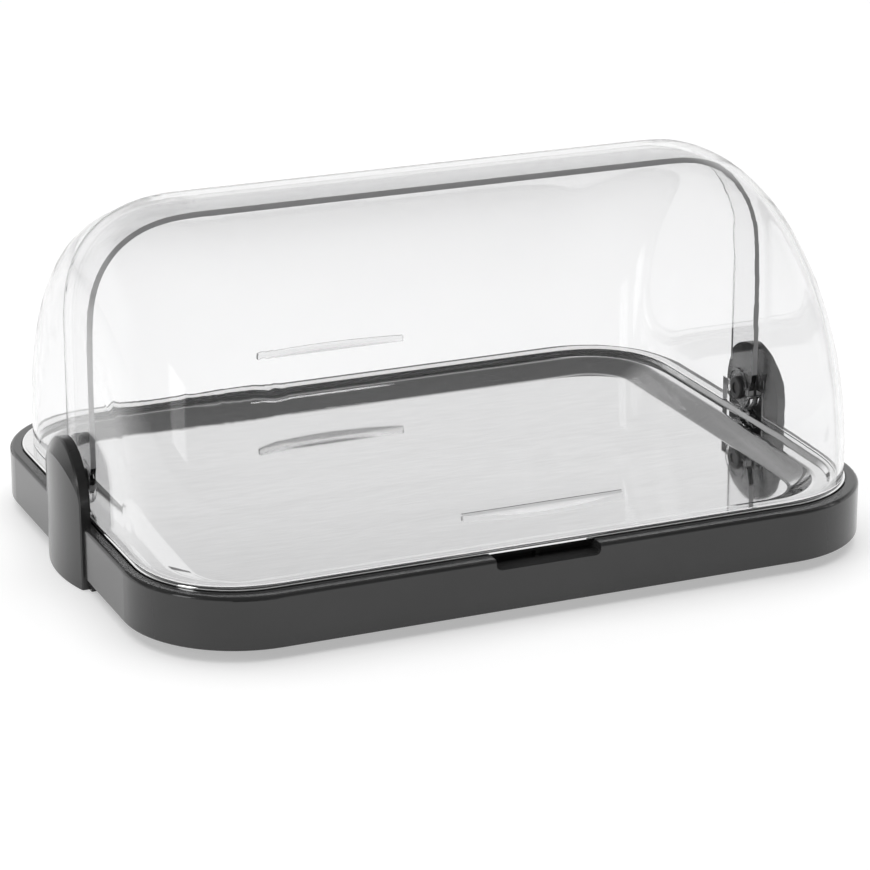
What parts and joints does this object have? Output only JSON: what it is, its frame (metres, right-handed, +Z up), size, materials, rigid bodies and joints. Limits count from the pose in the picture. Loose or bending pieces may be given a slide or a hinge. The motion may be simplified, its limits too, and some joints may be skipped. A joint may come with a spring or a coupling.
{
  "type": "roll-top chilled display case",
  "caption": "Countertop display case with two clear roll-top covers on end pivots, a mirror steel tray and cold packs in a charcoal plastic base.",
  "frame": {"origin": "on the table under the middle of the case", "axes": "+X along the long side to the right seen from the front, +Y to the rear, +Z up"},
  "size_m": [0.436, 0.3221, 0.2022],
  "materials": {
    "base_plastic": "satin",
    "clear_plastic": "clear gloss",
    "tray_steel": "mirror polished stainless steel",
    "pin_plastic": "satin",
    "washer_plastic": "satin",
    "screw_steel": "zinc plated",
    "pack_plastic": "satin",
    "cap_plastic": "satin",
    "foot_rubber": "matte"
  },
  "bodies": {
    "base": {"base_shell": "base_plastic", "cold_pack_left": "pack_plastic", "cold_pack_right": "pack_plastic", "foot_front_left": "foot_rubber", "foot_front_right": "foot_rubber", "foot_rear_left": "foot_rubber", "foot_rear_right": "foot_rubber", "inner_washer_left": "washer_plastic", "inner_washer_right": "washer_plastic", "outer_washer_left": "washer_plastic", "outer_washer_right": "washer_plastic", "pack_cap_left": "cap_plastic", "pack_cap_right": "cap_plastic", "pillar_left": "base_plastic", "pillar_right": "base_plastic", "pillar_screws": "screw_steel", "pivot_pin_left": "pin_plastic", "pivot_pin_right": "pin_plastic", "tray": "tray_steel"},
    "front_cover_body": {"front_cover": "clear_plastic"},
    "rear_cover_body": {"rear_cover": "clear_plastic"}
  },
  "joints": [
    {"name": "front_cover_hinge", "type": "hinge", "parent": "base", "child": "front_cover_body", "pos_m": [0, 0, 0.0507], "axis": [-1, 0, 0], "range_deg": [0, 50]},
    {"name": "rear_cover_hinge", "type": "hinge", "parent": "base", "child": "rear_cover_body", "pos_m": [0, 0, 0.0507], "axis": [1, 0, 0], "range_deg": [0, 28]}
  ]
}
